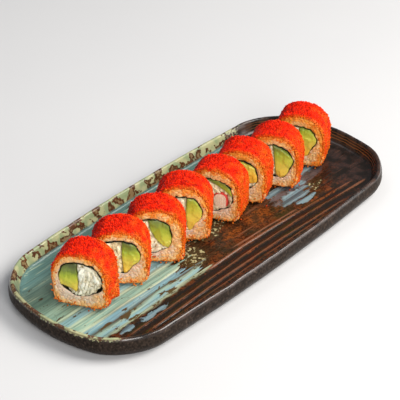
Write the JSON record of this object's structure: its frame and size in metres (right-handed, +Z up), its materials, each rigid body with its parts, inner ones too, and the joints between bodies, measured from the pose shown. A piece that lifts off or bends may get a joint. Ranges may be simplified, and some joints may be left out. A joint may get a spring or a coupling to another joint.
{
  "type": "uramaki roll",
  "caption": "Inside-out sushi roll coated in orange roe, cut into slices that stand in a row on a long ceramic tray with rounded corners and a low rim.",
  "frame": {"origin": "under the middle of the tray, on the surface that it stands on", "axes": "+X along the tray and the row of slices, +Z up; the slices' cut faces look towards -X and -Y"},
  "size_m": [0.348, 0.15, 0.0585],
  "materials": {
    "tray_glaze": "reactive glaze, celadon and sky blue to iron brown, glossy",
    "roe": "wet, fine round grains, translucent",
    "rice": "moist cooked grains, tinted by the roe near the skin",
    "nori": "dark pressed seaweed, slightly damp",
    "avocado": "soft cut flesh, green near the skin to yellow",
    "crab": "moist white shreds",
    "fish_cake": "pale flesh with a red outer skin"
  },
  "bodies": {
    "root": {"tray": "tray_glaze", "roe_1": "roe", "rice_1": "rice", "nori_1": "nori", "avocado_1": "avocado", "crab_1": "crab", "roe_2": "roe", "rice_2": "rice", "nori_2": "nori", "avocado_2": "avocado", "crab_2": "crab", "roe_3": "roe", "rice_3": "rice", "nori_3": "nori", "avocado_3": "avocado", "crab_3": "crab", "roe_4": "roe", "rice_4": "rice", "nori_4": "nori", "avocado_4": "avocado", "crab_4": "crab", "roe_5": "roe", "rice_5": "rice", "nori_5": "nori", "avocado_5": "avocado", "crab_5": "crab", "roe_6": "roe", "rice_6": "rice", "nori_6": "nori", "avocado_6": "avocado", "crab_6": "crab", "roe_7": "roe", "rice_7": "rice", "nori_7": "nori", "avocado_7": "avocado", "crab_7": "crab", "roe_8": "roe", "rice_8": "rice", "nori_8": "nori", "avocado_8": "avocado", "crab_8": "crab", "stick_5": "fish_cake"}
  },
  "joints": []
}
